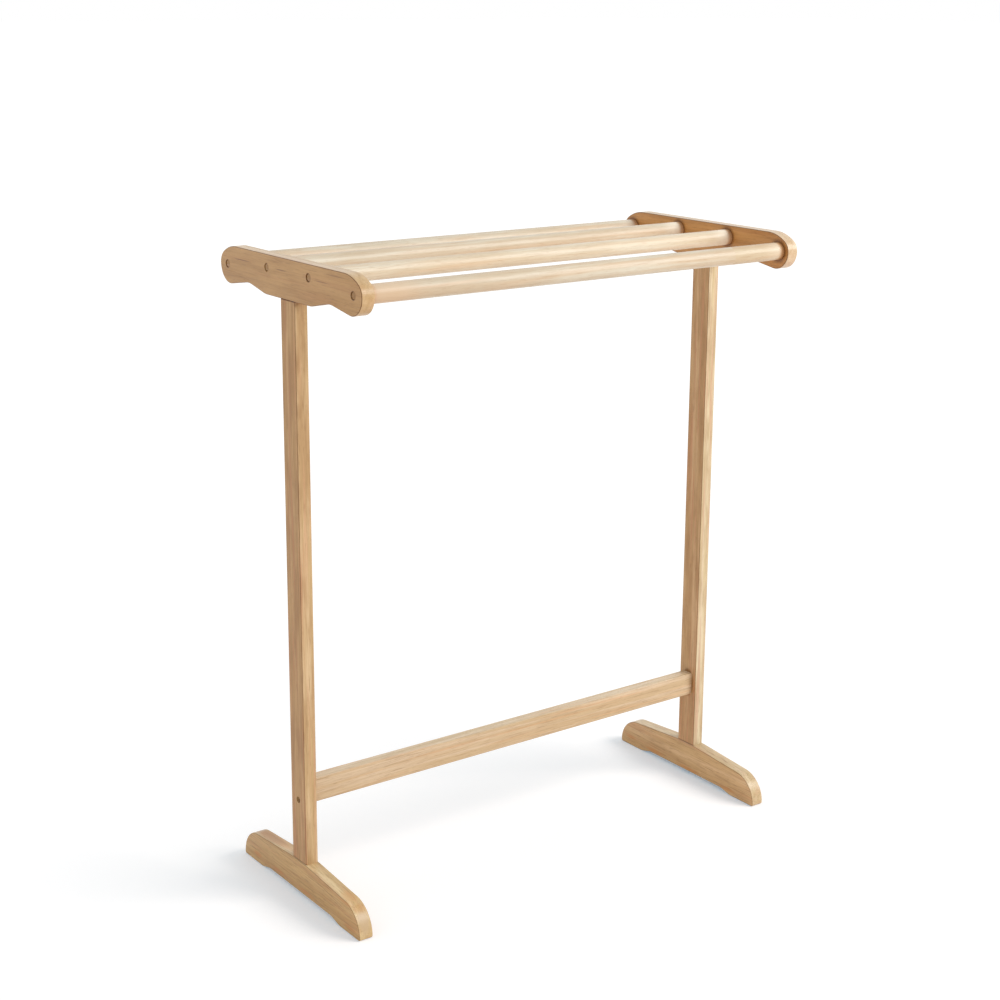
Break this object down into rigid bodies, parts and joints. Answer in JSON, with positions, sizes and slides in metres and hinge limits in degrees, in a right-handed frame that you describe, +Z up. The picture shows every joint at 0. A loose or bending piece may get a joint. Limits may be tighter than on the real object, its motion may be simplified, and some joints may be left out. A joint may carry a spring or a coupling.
{
  "type": "freestanding towel stand",
  "caption": "Freestanding wooden towel stand with round hanging rails between shaped end cheeks, flat posts on sled feet and a low flat stretcher.",
  "frame": {"origin": "on the floor, midway between the two feet and under the middle of the posts", "axes": "+X along the rails, -Y the front, +Z up"},
  "size_m": [0.702, 0.348, 0.853],
  "materials": {
    "cheek_wood": "satin clear lacquer on pale solid wood",
    "post_wood": "satin clear lacquer on pale solid wood",
    "foot_wood": "satin clear lacquer on pale solid wood",
    "rail_wood": "satin clear lacquer on pale solid wood",
    "stretcher_wood": "satin clear lacquer on pale solid wood",
    "plug_wood": "satin clear lacquer on pale solid wood",
    "dowel_wood": "bare beech",
    "screw_steel": "zinc plated"
  },
  "bodies": {
    "root": {"left_cheek": "cheek_wood", "right_cheek": "cheek_wood", "left_post": "post_wood", "right_post": "post_wood", "left_foot": "foot_wood", "right_foot": "foot_wood", "front_rail": "rail_wood", "front_inner_rail": "rail_wood", "back_inner_rail": "rail_wood", "back_rail": "rail_wood", "stretcher": "stretcher_wood", "left_rail_plugs": "plug_wood", "right_rail_plugs": "plug_wood", "left_rail_screws": "screw_steel", "right_rail_screws": "screw_steel", "left_cheek_dowels": "dowel_wood", "right_cheek_dowels": "dowel_wood", "left_foot_dowels": "dowel_wood", "right_foot_dowels": "dowel_wood", "left_foot_screw": "screw_steel", "right_foot_screw": "screw_steel", "left_stretcher_screw": "screw_steel", "right_stretcher_screw": "screw_steel", "left_stretcher_dowel": "dowel_wood", "right_stretcher_dowel": "dowel_wood"}
  },
  "joints": []
}
